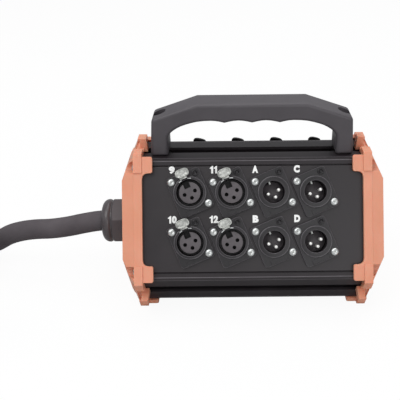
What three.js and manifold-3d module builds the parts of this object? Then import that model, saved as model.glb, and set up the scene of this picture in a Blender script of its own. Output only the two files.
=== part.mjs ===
// Stage box on a multicore tail: a three-sided box of aluminium rails and plates between moulded
// end caps, with a carry handle, twelve female and four male panel connectors, a cable gland and
// a coiled cable that ends in a round multipin plug.
// Millimetres, +Z up, +X along the box, the cable leaves at -X, the labelled panel faces -Y.
import * as THREE from "three";
import { mergeVertices } from "three/addons/utils/BufferGeometryUtils.js";
import Module from "manifold-3d";

const wasm = await Module();
wasm.setup();

// Clearances
const seatGap = 0.3;
const runGap = 0.3;
const overrun = 1;

// Box section: an equilateral triangle with its corners cut off, measured from its centre
const faceDistance = 44.5;
const cornerDistance = 59.9;
const capInnerX = 79.8;
const capRimX = 86;

// Plates: they slide into grooves of the rails by thin tongues along their edges
const plateVisible = 78;
const plateThick = 2.5;
const tongueReach = 2;
const plateInset = 0.4;
const plateEdge = 0.5;

// Rails: corner extrusions with a T-slot, two screw ports and two plate grooves
const railEndWall = 1.7;
const slotMouth = 9.3;
const slotLip = 2.2;
const slotWide = 15;
const slotDeep = 5.4;
const portBore = 3.6;
const portWall = 1.6;
const portDepth = 7;
const portAlong = 38;
const grooveLip = 1;

// End caps
const capSkin = 3.5;
const capCornerSkin = 2.7;
const blockProud = 1;
const blockCorner = 5.4;
const blockStart = 33.6;
const blockInner = 9;
const tabReach = 7.5;
const tabStart = 33.6;
const tabEnd = 45.4;
const tabFillet = 4.5;
const tabRound = 1.5;
const bulgeReach = 8.5;
const bulgeBaseFace = 47.5;
const bulgeBaseCorner = 64;
const bulgeTopFace = 45.6;
const bulgeTopHalf = 28.4;
const capWall = 3;
const capHollowFace = 41;
const capHollowCorner = 46;
const lugHigh = 10.6;
const lugThick = 6;
const lugInnerX = 77;
const lugOuterX = 83;
const lugTaper = 0.7;
const capScrewHead = 8.5;

// Carry handle
const handleDeep = 23;
const handleHigh = 39;
const handleUnder = 26.4;
const handleFootHalf = 74.2;
const handleLegLean = 2.3;
const handleShoulderHalf = handleFootHalf - handleLegLean;
const handleShoulderZ = 28;
const handleTopHalf = 39.5;
const handleLegWide = 13.2;
const handleInnerHalf = handleFootHalf - handleLegWide;
const handleArchDrop = 10.6;
const handleArch = [
  [1, 1.3],
  [0.985, 1.08],
  [0.95, 0.92],
  [0.858, 0.67],
  [0.686, 0.377],
  [0.466, 0.167],
  [0.32, 0.066],
  [0.15, 0.012],
];
const handleEdge = 2.6;
const gripPitch = 19.8;
const gripRise = 1.7;
const gripCount = 4;
const gripSteps = 4;
const handleBoltInset = 7.2;
const handleBoltX = handleFootHalf - handleBoltInset;
const boltHeadDiameter = 9;
const boltHeadHigh = 4.5;
const boltHeadZ = 20;
const boltShank = 5.6;
const boltSocket = 4;
const boltSocketDeep = 2.4;
const nutLong = 13;
const nutThick = 4;

// Panel connectors
const columnPitch = 30.2;
const rowPitch = 36;
const arrayShift = 1.2;
const connectorTilt = THREE.MathUtils.degToRad(22.5);
const panelHole = 24.2;
const flangeWide = 26;
const flangeHigh = 31;
const flangeThick = 2.4;
const flangeCorner = 2.5;
const barrelDiameter = 23.4;
const barrelDeep = 21;
const ringProud = 1.5;
const ringChamfer = 0.7;
const femaleRing = 24;
const femaleBore = 19.6;
const femaleDeep = 13;
const femaleInsert = 15.5;
const maleRing = 23;
const maleBore = 16.2;
const maleDeep = 13.5;
const maleInsertThick = 2;
const contactSpread = 4.05;
const contactDrop = 4;
const contactHole = 2.9;
const pinDiameter = 2.4;
const pinLong = 9.5;
const insertEdge = 0.6;

// Push tab of each female connector, which slides into a housing on the flange
const tabStemWide = 5.2;
const tabStemThick = 1.6;
const tabStemAt = 13;
const tabHeadWide = 9.4;
const tabHeadHigh = 6.5;
const tabHeadThick = 1.6;
const tabHeadAt = 14.8;
const tabTop = 9;
const tabTravel = 1.5;
const housingWide = 9;
const housingWall = 1.1;

// Cable gland
const glandAcrossFlats = 33;
const glandHexLong = 13.6;
const glandHexChamfer = 1;
const glandThread = 25;
const glandDome = 34;
const glandDomeLong = 8;
const glandMouthWall = 3;
const locknutAcross = 32;
const locknutThick = 4.5;
const glandSealLong = 2.4;

// Cable
const cableDiameter = 16.3;
const cableSides = 10;
const coilSides = 6;
const coilSteps = 24;
const coilFloorTurns = 3;
const coilUpperTurns = 2;
const coilPitch = 17;
const coilOuterRadius = 106;
const coilCentreX = -317;
const coilCentreY = -47;
const coilStart = THREE.MathUtils.degToRad(60);
const coilRise = THREE.MathUtils.degToRad(210);
const coilTail = 8;

// Multipin plug on the cable's end
const plugNutLong = 26;
const plugNutDiameter = 30;
const plugShellLong = 44;
const plugRadius = 25.15;
const plugLift = 0.35;
const plugRingLong = 20;
const plugRingWall = 3.5;
const plugRingShrink = 2.2;
const plugNoseDiameter = 36;
const plugNoseBore = 31;
const plugNoseLong = 22;
const plugInsertThick = 9;
const plugKnurls = 12;
const plugKnurlDeep = 1.2;
const plugKnurlWide = 4;

// Wiring loom inside the box
const loomDiameter = 11;
const loomHeight = -9;
const loomBranch = 3;

const housingTop = tabTop - tabHeadThick - tabTravel - runGap;
const tongueThick = plateThick - grooveLip - runGap;
const thirdTurn = (2 * Math.PI) / 3;
const cos30 = Math.cos(Math.PI / 6);
const sin30 = Math.sin(Math.PI / 6);
const faceTurn = Math.PI / 3;
const centreZ = faceDistance + capSkin + blockProud;
const railHalf = capRimX - railEndWall;

// Finishes
const finish = (color, roughness, metalness) =>
  new THREE.MeshStandardMaterial({ color, roughness, metalness });
const blackAnodised = () => finish(0x232124, 0.45, 0.3);
const blackPaint = () => finish(0x1f1d20, 0.5, 0.1);
const orangeNylon = () => finish(0xe0997c, 0.6, 0);
const blackNylon = () => finish(0x2b2b2d, 0.6, 0);
const zincSteel = () => finish(0xc9c9c6, 0.35, 0.9);
const blackZinc = () => finish(0x1b1b1c, 0.4, 0.5);
const darkInsert = () => finish(0x151516, 0.6, 0);
const blackRubber = () => finish(0x1d1e20, 0.7, 0);

// A closed geometry as a solid that can be joined and cut
function solid(geometry) {
  const bare = geometry.index ? geometry.toNonIndexed() : geometry.clone();
  for (const name of Object.keys(bare.attributes)) {
    if (name !== "position") bare.deleteAttribute(name);
  }
  const merged = mergeVertices(bare, 1e-4);
  const index = merged.index.array;
  const kept = [];
  for (let i = 0; i < index.length; i += 3) {
    const [a, b, c] = [index[i], index[i + 1], index[i + 2]];
    if (a !== b && b !== c && c !== a) kept.push(a, b, c);
  }
  return new wasm.Manifold(
    new wasm.Mesh({
      numProp: 3,
      vertProperties: merged.attributes.position.array,
      triVerts: new Uint32Array(kept),
    }),
  );
}

// A solid's surface as a geometry
function surface(body) {
  const mesh = body.getMesh();
  const stride = mesh.numProp;
  const position = new Float32Array(mesh.numVert * 3);
  for (let i = 0; i < mesh.numVert; i += 1) {
    position.set(mesh.vertProperties.subarray(i * stride, i * stride + 3), i * 3);
  }
  const geometry = new THREE.BufferGeometry();
  geometry.setAttribute("position", new THREE.BufferAttribute(position, 3));
  geometry.setIndex(new THREE.BufferAttribute(mesh.triVerts, 1));
  geometry.computeVertexNormals();
  return geometry;
}

const joined = (first, ...rest) => rest.reduce((sum, body) => sum.add(body), first);
const cutBy = (first, ...rest) => rest.reduce((left, body) => left.subtract(body), first);

function piece(name, body, material, parent) {
  const mesh = new THREE.Mesh(body.isBufferGeometry ? body : surface(body), material);
  mesh.name = name;
  parent.add(mesh);
  return mesh;
}

const shapeOf = (points) => new THREE.Shape(points.map(([x, y]) => new THREE.Vector2(x, y)));

function rectangle(low, high) {
  return shapeOf([low, [high[0], low[1]], high, [low[0], high[1]]]);
}

// A shape drawn in Y and Z, extruded along X
function alongX(shape, from, to) {
  const geometry = new THREE.ExtrudeGeometry(shape, {
    depth: to - from,
    bevelEnabled: false,
    curveSegments: 6,
  });
  const axes = new THREE.Matrix4().makeBasis(
    new THREE.Vector3(0, 1, 0),
    new THREE.Vector3(0, 0, 1),
    new THREE.Vector3(1, 0, 0),
  );
  return solid(geometry.applyMatrix4(axes).translate(from, 0, 0));
}

// A shape drawn in X and Y, extruded along Z
function alongZ(shape, from, to, curveSegments = 5) {
  const geometry = new THREE.ExtrudeGeometry(shape, {
    depth: to - from,
    bevelEnabled: false,
    curveSegments,
  });
  return solid(geometry.translate(0, 0, from));
}

// A profile of [radius, height] points turned round Z; open profiles start and end on the axis
function turned(profile, segments) {
  const area = profile.reduce((sum, [r, z], i) => {
    const [r2, z2] = profile[(i + 1) % profile.length];
    return sum + r * z2 - r2 * z;
  }, 0);
  const ordered = area > 0 ? profile : [...profile].reverse();
  const onAxis = ordered[0][0] === 0;
  const closed = onAxis ? ordered : [...ordered, ordered[0]];
  const points = closed.map(([r, z]) => new THREE.Vector2(r, z));
  return solid(new THREE.LatheGeometry(points, segments).rotateX(Math.PI / 2));
}

const rod = (diameter, from, to, segments) =>
  turned(
    [
      [0, from],
      [diameter / 2, from],
      [diameter / 2, to],
      [0, to],
    ],
    segments,
  );

// Turns a body made along Z so that it lies along X
const towardX = (body) => body.rotate([0, 90, 0]);

function circle(x, y, diameter) {
  const path = new THREE.Path();
  path.absarc(x, y, diameter / 2, 0, 2 * Math.PI, true);
  return path;
}

// Points of the section: place on a long face, at a distance from the centre and a place along it
const onFace = (distance, along) => [
  cos30 * distance - sin30 * along,
  sin30 * distance + cos30 * along,
];
const cornerHalf = (face, corner) => (face - corner * sin30) / cos30;

// Repeats one corner's points, listed from its right face to its left face, round all three
function aroundSection(rightHalf) {
  const mirrored = [...rightHalf].reverse().map(([a, b]) => [-a, b]);
  const corner = [...rightHalf, ...mirrored];
  return [0, 1, 2].flatMap((k) => {
    const c = Math.cos(k * thirdTurn);
    const s = Math.sin(k * thirdTurn);
    return corner.map(([a, b]) => [a * c - b * s, a * s + b * c]);
  });
}

const sectionPoints = (face, corner) => aroundSection([[cornerHalf(face, corner), corner]]);

// A closed body between two rings of points, given as [y, z], at two places along X
function loft(pointsA, xA, pointsB, xB) {
  const count = pointsA.length;
  const position = [];
  const ring = (points, x) => points.forEach(([y, z]) => position.push(x, y, z));
  ring(pointsA, xA);
  ring(pointsB, xB);
  const index = [];
  for (let i = 0; i < count; i += 1) {
    const j = (i + 1) % count;
    index.push(i, j, count + j, i, count + j, count + i);
  }
  for (let i = 1; i < count - 1; i += 1) {
    index.push(0, i + 1, i, count, count + i, count + i + 1);
  }
  const geometry = new THREE.BufferGeometry();
  geometry.setAttribute("position", new THREE.Float32BufferAttribute(position, 3));
  geometry.setIndex(index);
  return solid(geometry);
}

const box = new THREE.Group();
box.name = "stage_box_snake";
const section = new THREE.Group();
section.position.z = centreZ;
box.add(section);

// One group for each long face: X to the viewer's right, Y up the face, Z out of it
function faceGroup(turnAboutZ, tilt) {
  const outer = new THREE.Group();
  outer.rotation.z = turnAboutZ;
  const inner = new THREE.Group();
  inner.rotation.x = tilt;
  inner.position.set(0, 0, 0);
  outer.add(inner);
  section.add(outer);
  return inner;
}
const frontFace = faceGroup(0, faceTurn);
const rearFace = faceGroup(Math.PI, faceTurn);
const bottomFace = faceGroup(0, Math.PI);

// Where the screw ports lie in a rail, and where the cap screws go
const portPlace = onFace(faceDistance - portDepth, portAlong);

// A rail's section, drawn for the top corner
function railShape() {
  const top = cornerDistance;
  const half = cornerHalf(faceDistance, top);
  const plateTop = plateVisible / 2 + runGap;
  const grooveEnd = plateTop + tongueReach;
  const tongueOut = faceDistance - plateInset - grooveLip;
  const tongueIn = tongueOut - tongueThick - 2 * runGap;
  const legIn = tongueIn - grooveLip;
  const floor = top - slotLip - slotDeep;
  const portRight = portPlace[0] + portBore / 2 + portWall;
  const portLow = portPlace[1] - portBore / 2 - portWall;
  const legEnd = onFace(legIn, plateTop - tongueReach);
  const rightHalf = [
    [0, floor - portWall],
    [portPlace[0] - portBore / 2 - portWall, floor - portWall],
    [portPlace[0] - portBore / 2 - portWall, portLow],
    [Math.min(portRight, legEnd[0] - portWall), portLow],
    legEnd,
    onFace(tongueIn, plateTop - tongueReach),
    onFace(tongueIn, grooveEnd),
    onFace(tongueOut, grooveEnd),
    onFace(tongueOut, plateTop),
    onFace(faceDistance, plateTop),
    [half, top],
    [slotMouth / 2, top],
    [slotMouth / 2, top - slotLip],
    [slotWide / 2, top - slotLip],
    [slotWide / 2, floor],
    [0, floor],
  ];
  const leftHalf = rightHalf.slice(1, -1).reverse();
  const outline = [...rightHalf.slice(1, -1), ...leftHalf.map(([a, b]) => [-a, b])];
  const shape = shapeOf(outline);
  shape.holes.push(circle(portPlace[0], portPlace[1], portBore));
  shape.holes.push(circle(-portPlace[0], portPlace[1], portBore));
  return shape;
}

const railNames = ["rail_top", "rail_front", "rail_rear"];
railNames.forEach((name, k) => {
  const rail = piece(name, alongX(railShape(), -railHalf, railHalf), blackAnodised(), section);
  rail.rotation.x = [0, thirdTurn, -thirdTurn][k];
});

// Connector places on a face, as [x, y] in the face's own frame
const columns = [-1.5, -0.5, 0.5, 1.5].map((share) => share * columnPitch);
const rows = [0.5, -0.5].map((share) => share * rowPitch + arrayShift);

// A plate with tongues along both edges, and a round hole for each connector
function plateBody(withHoles, holeRows) {
  const outer = faceDistance - plateInset;
  const inner = outer - plateThick;
  const half = plateVisible / 2 - runGap;
  const tongueTop = faceDistance - plateInset - grooveLip - runGap;
  const tongueHalf = plateVisible / 2 + tongueReach - runGap;
  const outline = [
    [-tongueHalf, inner],
    [tongueHalf, inner],
    [tongueHalf, tongueTop],
    [half, tongueTop],
    [half, outer - plateEdge],
    [half - plateEdge, outer],
    [plateEdge - half, outer],
    [-half, outer - plateEdge],
    [-half, tongueTop],
    [-tongueHalf, tongueTop],
  ];
  const plate = alongX(shapeOf(outline), -railHalf, railHalf);
  if (!withHoles) return plate;
  const holes = columns.flatMap((x) =>
    holeRows.map((y) => rod(panelHole, inner - overrun, outer + overrun, 16).translate([x, y, 0])),
  );
  return cutBy(plate, ...holes);
}
piece("panel_front", plateBody(true, rows), blackPaint(), frontFace);
piece("panel_rear", plateBody(true, rows), blackPaint(), rearFace);
piece("panel_bottom", plateBody(false, rows), blackPaint(), bottomFace);

// The tab that a cap lays on a long face beside each corner, drawn in X and along the face
function capTab() {
  const outerX = capInnerX + overrun;
  const tipX = capInnerX - tabReach;
  const shape = new THREE.Shape();
  shape.moveTo(outerX, tabStart - tabFillet);
  shape.lineTo(capInnerX, tabStart - tabFillet);
  shape.quadraticCurveTo(capInnerX, tabStart, capInnerX - tabFillet, tabStart);
  shape.lineTo(tipX + tabRound, tabStart);
  shape.quadraticCurveTo(tipX, tabStart, tipX, tabStart + tabRound);
  shape.lineTo(tipX, tabEnd - tabRound);
  shape.quadraticCurveTo(tipX, tabEnd, tipX + tabRound, tabEnd);
  shape.lineTo(outerX, tabEnd);
  return alongZ(shape, faceDistance + seatGap, faceDistance + capSkin, 3);
}

// The lug on the middle of each cut-off corner, tapered towards its tip
function capLug() {
  const foot = cornerDistance + seatGap;
  const tip = cornerDistance + lugHigh;
  const shape = shapeOf([
    [lugInnerX, foot],
    [lugOuterX, foot],
    [lugOuterX - lugTaper, tip],
    [lugInnerX + lugTaper, tip],
  ]);
  const lug = new THREE.ExtrudeGeometry(shape, { depth: lugThick, bevelEnabled: false });
  return solid(lug.rotateX(Math.PI / 2).translate(0, lugThick / 2, 0));
}

// An end cap, made for +X
function capBody() {
  const face = faceDistance + capSkin;
  const block = face + blockProud;
  const blockTop = cornerDistance + blockCorner;
  const rimOutline = aroundSection([
    onFace(face, blockStart),
    onFace(block, blockStart),
    [cornerHalf(block, blockTop), blockTop],
    [blockInner, blockTop],
    [blockInner, cornerDistance + capCornerSkin],
  ]);
  const rim = alongX(shapeOf(rimOutline), capInnerX, capRimX);
  const topCorner = cos30 * bulgeTopHalf + sin30 * bulgeTopFace;
  const bulge = loft(
    sectionPoints(bulgeBaseFace, bulgeBaseCorner),
    capRimX - seatGap,
    sectionPoints(bulgeTopFace, topCorner),
    capRimX + bulgeReach,
  );
  const tabs = [0, 1, 2].flatMap((k) => {
    const tab = capTab();
    const pair = [tab, tab.mirror([0, 1, 0])];
    return pair.map((body) => body.rotate([60 + 120 * k, 0, 0]));
  });
  const lugs = [0, 1, 2].map((k) => capLug().rotate([120 * k, 0, 0]));
  const socket = alongX(
    shapeOf(sectionPoints(faceDistance + seatGap, cornerDistance + seatGap)),
    capInnerX - overrun,
    railHalf + seatGap,
  );
  const hollow = alongX(
    shapeOf(sectionPoints(capHollowFace, capHollowCorner)),
    railHalf,
    capRimX + bulgeReach - capWall,
  );
  const notches = [0, 1, 2].flatMap((k) =>
    [-1, 1].map((side) => {
      const reach = faceDistance;
      const head = towardX(rod(capScrewHead, capRimX, capRimX + bulgeReach + overrun, 10));
      const slot = alongX(
        rectangle([-capScrewHead / 2, 0], [capScrewHead / 2, reach]),
        capRimX,
        capRimX + bulgeReach + overrun,
      );
      const notch = head.add(slot).rotate([-60 * side, 0, 0]);
      return notch.translate([0, side * portPlace[0], portPlace[1]]).rotate([120 * k, 0, 0]);
    }),
  );
  const outside = joined(rim, bulge, ...tabs, ...lugs);
  return cutBy(outside, socket, hollow, ...notches);
}

const rightCap = capBody();
const glandHole = towardX(rod(glandThread + 2 * runGap, 0, 2 * capRimX, 24)).mirror([1, 0, 0]);
const leftCap = cutBy(rightCap.mirror([1, 0, 0]), glandHole);
piece("end_cap_right", rightCap, orangeNylon(), section);
piece("end_cap_left", leftCap, orangeNylon(), section);

// Handle side outline in X and Z above its foot: a sloping top, and finger scallops underneath
function handleOutline() {
  const gripHalf = (gripCount * gripPitch) / 2;
  const right = [
    [handleFootHalf, 0],
    [handleShoulderHalf, handleShoulderZ],
    [handleTopHalf, handleHigh],
  ];
  const scallops = [];
  const firstCrest = gripSteps / 2;
  for (let i = firstCrest; i <= gripCount * gripSteps - firstCrest; i += 1) {
    const share = (i % gripSteps) / gripSteps;
    const rise = gripRise * Math.sin(Math.PI * share);
    scallops.push([(i / gripSteps) * gripPitch - gripHalf, handleUnder - gripRise + rise]);
  }
  const crestX = gripHalf - gripPitch / 2;
  const arch = handleArch.map(([along, drop]) => [
    -crestX - (handleInnerHalf - crestX) * along,
    handleUnder - handleArchDrop * drop,
  ]);
  const inner = [
    [-handleInnerHalf, 0],
    ...arch,
    ...scallops,
    ...arch.map(([x, z]) => [-x, z]).reverse(),
    [handleInnerHalf, 0],
  ];
  return [...right, ...[...right].reverse().map(([x, z]) => [-x, z]), ...inner];
}

// Moves each edge of a closed outline inward, except the feet, which stay at height 0
function insetOutline(points, inset) {
  const count = points.length;
  return points.map(([x, z], i) => {
    const [px, pz] = points[(i + count - 1) % count];
    const [nx, nz] = points[(i + 1) % count];
    const before = new THREE.Vector2(x - px, z - pz).normalize();
    const after = new THREE.Vector2(nx - x, nz - z).normalize();
    const normal = new THREE.Vector2(-before.y - after.y, before.x + after.x).normalize();
    const scale = inset / Math.max(normal.dot(new THREE.Vector2(-before.y, before.x)), sin30);
    const moved = [x + normal.x * scale, z + normal.y * scale];
    return z === 0 ? [x + Math.sign(moved[0] - x) * inset, 0] : moved;
  });
}

function handleBody() {
  const geometry = new THREE.ExtrudeGeometry(shapeOf(handleOutline()), {
    depth: handleDeep - 2 * handleEdge,
    bevelEnabled: false,
  });
  geometry.rotateX(Math.PI / 2).translate(0, handleDeep / 2 - handleEdge, 0);
  const core = solid(geometry);
  const thin = new THREE.ExtrudeGeometry(shapeOf(insetOutline(handleOutline(), handleEdge)), {
    depth: handleDeep,
    bevelEnabled: false,
  });
  thin.rotateX(Math.PI / 2).translate(0, handleDeep / 2, 0);
  return core.add(solid(thin));
}

const handleGroup = new THREE.Group();
handleGroup.position.z = cornerDistance + seatGap;
section.add(handleGroup);
const boltSides = [-1, 1];
const boltHoles = boltSides.flatMap((side) => [
  rod(boltHeadDiameter + 2 * runGap, boltHeadZ - runGap, handleHigh, 16),
  rod(boltShank + 2 * runGap, -overrun, boltHeadZ, 12),
].map((hole) => hole.translate([side * handleBoltX, 0, 0])));
piece("handle", cutBy(handleBody(), ...boltHoles), blackNylon(), handleGroup);

// Each handle bolt screws into a nut that slides in the top rail's slot
const nutTop = -seatGap - slotLip - seatGap;
const nutLow = nutTop - nutThick;
boltSides.forEach((side) => {
  const word = side < 0 ? "left" : "right";
  const bolt = joined(
    rod(boltHeadDiameter, boltHeadZ, boltHeadZ + boltHeadHigh, 16),
    rod(boltShank, nutLow, boltHeadZ + runGap, 12),
  );
  const socket = rod(boltSocket, boltHeadZ + boltHeadHigh - boltSocketDeep, handleHigh, 6);
  const boltMesh = piece("handle_bolt_" + word, cutBy(bolt, socket), zincSteel(), handleGroup);
  boltMesh.position.x = side * handleBoltX;
  const nutHalf = slotWide / 2 - runGap;
  const nutBlock = alongX(
    rectangle([-nutHalf, nutLow], [nutHalf, nutTop]),
    -nutLong / 2,
    nutLong / 2,
  );
  const nutBore = rod(boltShank + 2 * runGap, nutLow - overrun, nutTop + overrun, 12);
  const nutMesh = piece("handle_nut_" + word, cutBy(nutBlock, nutBore), zincSteel(), handleGroup);
  nutMesh.position.x = side * handleBoltX;
});

function roundedRectangle(width, height, radius) {
  const [w, h] = [width / 2, height / 2];
  const shape = new THREE.Shape();
  shape.moveTo(radius - w, -h);
  shape.lineTo(w - radius, -h);
  shape.quadraticCurveTo(w, -h, w, radius - h);
  shape.lineTo(w, h - radius);
  shape.quadraticCurveTo(w, h, w - radius, h);
  shape.lineTo(radius - w, h);
  shape.quadraticCurveTo(-w, h, -w, h - radius);
  shape.lineTo(-w, radius - h);
  shape.quadraticCurveTo(-w, -h, radius - w, -h);
  return shape;
}

// The D-size flange and barrel with a raised ring and a blind bore. Height 0 is the panel
function connectorShell(ring, bore, depth, segments) {
  const top = seatGap + flangeThick + ringProud;
  const flangeShape = roundedRectangle(flangeWide, flangeHigh, flangeCorner);
  const flange = alongZ(flangeShape, seatGap, seatGap + flangeThick, 2);
  const body = turned(
    [
      [0, -barrelDeep],
      [barrelDiameter / 2, -barrelDeep],
      [barrelDiameter / 2, seatGap + flangeThick / 2],
      [ring / 2, seatGap + flangeThick / 2],
      [ring / 2, top - ringChamfer],
      [ring / 2 - ringChamfer, top],
      [0, top],
    ],
    segments,
  );
  return cutBy(flange.add(body), rod(bore, top - depth, top + overrun, segments));
}

const contactPlaces = [
  [contactSpread, 0],
  [-contactSpread, 0],
  [0, -contactDrop],
];

// A female insert stands on the floor of the bore, with three contact holes
function femaleInsertBody(foot, top, segments) {
  const core = turned(
    [
      [0, foot],
      [femaleInsert / 2, foot],
      [femaleInsert / 2, top - insertEdge],
      [femaleInsert / 2 - insertEdge, top],
      [0, top],
    ],
    segments,
  );
  const holes = contactPlaces.map(([x, y]) =>
    rod(contactHole, foot + (top - foot) / 2, top + overrun, 6).translate([x, y, 0]),
  );
  return cutBy(core, ...holes);
}

// The housing that guides a push tab, as a block on the flange, with its pocket
const tabStemFoot = seatGap + flangeThick + runGap;
const housingDeep = tabStemThick + 2 * runGap + 2 * housingWall;
function tabHousing() {
  const low = seatGap + flangeThick / 2;
  const at = tabStemAt;
  return alongZ(
    rectangle([-housingWide / 2, at - housingDeep / 2], [housingWide / 2, at + housingDeep / 2]),
    low,
    housingTop,
  );
}
function tabPocket() {
  const halfWide = tabStemWide / 2 + runGap;
  const halfThick = tabStemThick / 2 + runGap;
  const floor = tabStemFoot - tabTravel - runGap;
  return alongZ(
    rectangle([-halfWide, tabStemAt - halfThick], [halfWide, tabStemAt + halfThick]),
    Math.max(floor, seatGap + runGap),
    tabTop + overrun,
  );
}

// A push tab: an oval thumb plate on a flat stem
function pushTab() {
  const head = new THREE.Shape();
  head.absellipse(0, tabHeadAt, tabHeadWide / 2, tabHeadHigh / 2, 0, 2 * Math.PI, false, 0);
  const plate = alongZ(head, tabTop - tabHeadThick, tabTop, 4);
  const stem = alongZ(
    rectangle(
      [-tabStemWide / 2, tabStemAt - tabStemThick / 2],
      [tabStemWide / 2, tabStemAt + tabStemThick / 2],
    ),
    tabStemFoot,
    tabTop - tabHeadThick / 2,
  );
  return plate.add(stem);
}

function femaleShell(segments) {
  const shell = connectorShell(femaleRing, femaleBore, femaleDeep, segments);
  return cutBy(shell.add(tabHousing()), tabPocket());
}

function maleInsertBody(foot) {
  const disc = rod(maleBore - 2 * runGap, foot, foot + maleInsertThick, 20);
  const pins = contactPlaces.map(([x, y]) => {
    const pin = turned(
      [
        [0, foot + maleInsertThick / 2],
        [pinDiameter / 2, foot + maleInsertThick / 2],
        [pinDiameter / 2, foot + maleInsertThick + pinLong - pinDiameter / 2],
        [pinDiameter / 4, foot + maleInsertThick + pinLong],
        [0, foot + maleInsertThick + pinLong],
      ],
      8,
    );
    return pin.translate([x, y, 0]);
  });
  return joined(disc, ...pins);
}

const ringTop = seatGap + flangeThick + ringProud;
const femaleFloor = ringTop - femaleDeep;
const maleFloor = ringTop - maleDeep;
const panelSurface = faceDistance - plateInset;

function connectorGroup(face, x, y) {
  const group = new THREE.Group();
  group.position.set(x, y, panelSurface);
  group.rotation.z = connectorTilt;
  face.add(group);
  return group;
}

// The labelled panel: columns from the left, upper row first
const frontNames = [
  ["9", "10"],
  ["11", "12"],
  ["a", "b"],
  ["c", "d"],
];
columns.forEach((x, column) => {
  rows.forEach((y, row) => {
    const group = connectorGroup(frontFace, x, y);
    const name = frontNames[column][row];
    if (column < 2) {
      piece("female_shell_" + name, femaleShell(20), blackZinc(), group);
      const insert = femaleInsertBody(femaleFloor + seatGap, ringTop - ringChamfer, 20);
      piece("female_insert_" + name, insert, darkInsert(), group);
      piece("push_tab_" + name, pushTab(), zincSteel(), group);
    } else {
      const shell = connectorShell(maleRing, maleBore, maleDeep, 20);
      piece("male_shell_" + name, shell, blackZinc(), group);
      piece("male_insert_" + name, maleInsertBody(maleFloor + seatGap), zincSteel(), group);
    }
  });
});

// The rear panel has eight inputs. Their inserts are one piece with the shells
columns.forEach((x, column) => {
  rows.forEach((y, row) => {
    const group = connectorGroup(rearFace, x, y);
    const name = String(2 * column + row + 1);
    const insert = femaleInsertBody(femaleFloor - overrun, ringTop - ringChamfer, 12);
    piece("female_shell_" + name, femaleShell(14).add(insert), blackZinc(), group);
    piece("push_tab_" + name, pushTab(), zincSteel(), group);
  });
});

// Cable gland on the left cap. Each part is made along +X of a group that faces -X
const glandGroup = new THREE.Group();
glandGroup.rotation.z = Math.PI;
glandGroup.position.x = -(capRimX + bulgeReach);
section.add(glandGroup);

// A hexagon with corners up and down, and a chamfer on its outer end
function hexNut(across, from, to, chamfer) {
  const radius = across / (2 * cos30);
  const corners = [0, 1, 2, 3, 4, 5].map((k) => [
    radius * Math.sin((k * Math.PI) / 3),
    radius * Math.cos((k * Math.PI) / 3),
  ]);
  const cone = towardX(
    turned(
      [
        [0, from],
        [radius + chamfer, from],
        [radius + chamfer, to - 2 * chamfer],
        [across / 2, to],
        [0, to],
      ],
      24,
    ),
  );
  return alongX(shapeOf([...corners].reverse()), from, to).intersect(cone);
}

const cableBore = cableDiameter + 2 * runGap;
const hexFrom = seatGap;
const hexTo = hexFrom + glandHexLong;
const threadIn = capWall + locknutThick + 2 * seatGap;
const domeFrom = hexTo + seatGap;
const domeTo = domeFrom + glandDomeLong;
const throughBore = towardX(rod(cableBore, -2 * threadIn, domeTo + overrun, 24));
const glandBody = joined(
  hexNut(glandAcrossFlats, hexFrom, hexTo, glandHexChamfer),
  towardX(rod(glandThread, -threadIn, hexFrom + overrun, 24)),
);
piece("gland_body", cutBy(glandBody, throughBore), blackNylon(), glandGroup);

const sealFrom = domeFrom;
const dome = towardX(
  turned(
    [
      [0, domeFrom],
      [glandDome / 2, domeFrom],
      [glandDome / 2, domeFrom + glandDomeLong / 3],
      [glandDome / 2 - glandMouthWall / 3, domeFrom + (2 * glandDomeLong) / 3],
      [cableDiameter / 2 + glandMouthWall, domeTo],
      [0, domeTo],
    ],
    24,
  ),
);
const sealDiameter = cableBore + 2 * glandMouthWall;
const sealSeat = towardX(
  rod(sealDiameter + 2 * runGap, sealFrom - overrun, sealFrom + glandSealLong + runGap, 20),
);
piece("gland_dome_nut", cutBy(dome, throughBore, sealSeat), blackNylon(), glandGroup);

const sealRing = towardX(rod(sealDiameter, sealFrom, sealFrom + glandSealLong, 20));
piece("gland_seal", cutBy(sealRing, throughBore), blackRubber(), glandGroup);

const locknutTo = -capWall - seatGap;
const locknut = cutBy(
  hexNut(locknutAcross, locknutTo - locknutThick, locknutTo, runGap),
  towardX(rod(glandThread + 2 * runGap, -2 * threadIn, 0, 24)),
);
piece("gland_locknut", locknut, blackNylon(), glandGroup);

// Wiring loom: a trunk from the cable's end along the box, and a branch to each connector's back
const cableStart = -(capRimX + bulgeReach);
const trunkFrom = cableStart + seatGap;
const trunkTo = columns[columns.length - 1];
const trunkBend = cableStart + capWall + locknutThick + loomDiameter;
const trunkPath = new THREE.CatmullRomCurve3([
  new THREE.Vector3(trunkFrom, 0, 0),
  new THREE.Vector3(trunkBend, 0, 0),
  new THREE.Vector3(trunkBend + loomDiameter, 0, loomHeight / 2),
  new THREE.Vector3(trunkBend + 2 * loomDiameter, 0, loomHeight),
  new THREE.Vector3(trunkTo, 0, loomHeight),
]);

// A round tube along a curve, closed at both ends
function tube(curve, diameter, sides, steps) {
  const section2d = new THREE.Shape();
  const corners = Array.from({ length: sides }, (_, i) => {
    const angle = (2 * Math.PI * (i + sin30)) / sides;
    return [(diameter / 2) * Math.cos(angle), (diameter / 2) * Math.sin(angle)];
  });
  section2d.setFromPoints(corners.map(([x, y]) => new THREE.Vector2(x, y)));
  return new THREE.ExtrudeGeometry(section2d, { extrudePath: curve, steps });
}

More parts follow.
